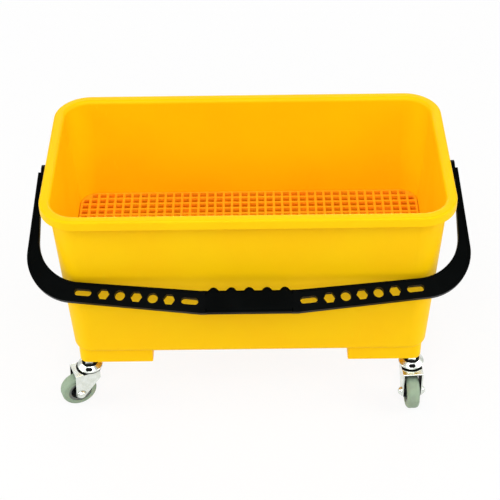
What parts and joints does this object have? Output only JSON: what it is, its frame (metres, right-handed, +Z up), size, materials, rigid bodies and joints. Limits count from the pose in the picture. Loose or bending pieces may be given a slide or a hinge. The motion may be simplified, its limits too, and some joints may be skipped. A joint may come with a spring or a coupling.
{
  "type": "flat mop bucket",
  "caption": "Rectangular flat mop bucket with tapered walls and flanged rim, a swing-over carrying handle with a ridged grip, a lift-out sieve and swivel casters.",
  "frame": {"origin": "on the floor under the middle of the bucket", "axes": "+X along the length of the bucket to the right, +Y to the back, +Z up; the front faces -Y"},
  "size_m": [0.557, 0.2992, 0.3386],
  "materials": {
    "bucket_yellow": "satin moulded polypropylene",
    "sieve_yellow": "satin moulded polypropylene",
    "handle_black": "satin moulded nylon",
    "grip_black": "soft satin",
    "caster_zinc": "bright zinc plate",
    "ball_steel": "polished",
    "sleeve_steel": "turned",
    "insert_brass": "turned",
    "hub_grey": "moulded nylon",
    "tyre_grey": "matt non-marking rubber"
  },
  "bodies": {
    "bucket": {"bucket_shell": "bucket_yellow", "front_left_threaded_insert": "insert_brass", "front_left_caster_stem": "caster_zinc", "front_left_upper_race": "caster_zinc", "front_right_threaded_insert": "insert_brass", "front_right_caster_stem": "caster_zinc", "front_right_upper_race": "caster_zinc", "rear_left_threaded_insert": "insert_brass", "rear_left_caster_stem": "caster_zinc", "rear_left_upper_race": "caster_zinc", "rear_right_threaded_insert": "insert_brass", "rear_right_caster_stem": "caster_zinc", "rear_right_upper_race": "caster_zinc"},
    "handle": {"bail": "handle_black", "hand_grip": "grip_black", "left_pivot_pin": "handle_black", "right_pivot_pin": "handle_black"},
    "sieve": {"sieve_grid": "sieve_yellow", "sieve_legs": "sieve_yellow"},
    "front_left_swivel": {"front_left_fork": "caster_zinc", "front_left_swivel_balls": "ball_steel", "front_left_axle_rivet": "caster_zinc", "front_left_axle_sleeve": "sleeve_steel"},
    "front_left_wheel": {"front_left_hub": "hub_grey", "front_left_tyre": "tyre_grey"},
    "front_right_swivel": {"front_right_fork": "caster_zinc", "front_right_swivel_balls": "ball_steel", "front_right_axle_rivet": "caster_zinc", "front_right_axle_sleeve": "sleeve_steel"},
    "front_right_wheel": {"front_right_hub": "hub_grey", "front_right_tyre": "tyre_grey"},
    "rear_left_swivel": {"rear_left_fork": "caster_zinc", "rear_left_swivel_balls": "ball_steel", "rear_left_axle_rivet": "caster_zinc", "rear_left_axle_sleeve": "sleeve_steel"},
    "rear_left_wheel": {"rear_left_hub": "hub_grey", "rear_left_tyre": "tyre_grey"},
    "rear_right_swivel": {"rear_right_fork": "caster_zinc", "rear_right_swivel_balls": "ball_steel", "rear_right_axle_rivet": "caster_zinc", "rear_right_axle_sleeve": "sleeve_steel"},
    "rear_right_wheel": {"rear_right_hub": "hub_grey", "rear_right_tyre": "tyre_grey"}
  },
  "joints": [
    {"name": "handle_swing", "type": "hinge", "parent": "bucket", "child": "handle", "pos_m": [0, 0, 0.3086], "axis": [-1, 0, 0], "range_deg": [0, 245.3]},
    {"name": "sieve_lift", "type": "slide", "parent": "bucket", "child": "sieve", "axis": [0, 0, 1], "range_m": [0, 0.24]},
    {"name": "front_left_swivel_turn", "type": "hinge", "parent": "bucket", "child": "front_left_swivel", "pos_m": [-0.21606, -0.09606, 0.06], "axis": [0, 0, 1], "continuous": true},
    {"name": "front_left_wheel_spin", "type": "hinge", "parent": "front_left_swivel", "child": "front_left_wheel", "pos_m": [-0.23447, -0.10388, 0.024], "axis": [0.3907, -0.9205, 0], "continuous": true},
    {"name": "front_right_swivel_turn", "type": "hinge", "parent": "bucket", "child": "front_right_swivel", "pos_m": [0.21606, -0.09606, 0.06], "axis": [0, 0, 1], "continuous": true},
    {"name": "front_right_wheel_spin", "type": "hinge", "parent": "front_right_swivel", "child": "front_right_wheel", "pos_m": [0.21711, -0.11604, 0.024], "axis": [0.9986, 0.0523, 0], "continuous": true},
    {"name": "rear_left_swivel_turn", "type": "hinge", "parent": "bucket", "child": "rear_left_swivel", "pos_m": [-0.21606, 0.09606, 0.06], "axis": [0, 0, 1], "continuous": true},
    {"name": "rear_left_wheel_spin", "type": "hinge", "parent": "rear_left_swivel", "child": "rear_left_wheel", "pos_m": [-0.20761, 0.11419, 0.024], "axis": [-0.9063, 0.4226, 0], "continuous": true},
    {"name": "rear_right_swivel_turn", "type": "hinge", "parent": "bucket", "child": "rear_right_swivel", "pos_m": [0.21606, 0.09606, 0.06], "axis": [0, 0, 1], "continuous": true},
    {"name": "rear_right_wheel_spin", "type": "hinge", "parent": "rear_right_swivel", "child": "rear_right_wheel", "pos_m": [0.21606, 0.11606, 0.024], "axis": [-1, 0, 0], "continuous": true}
  ]
}
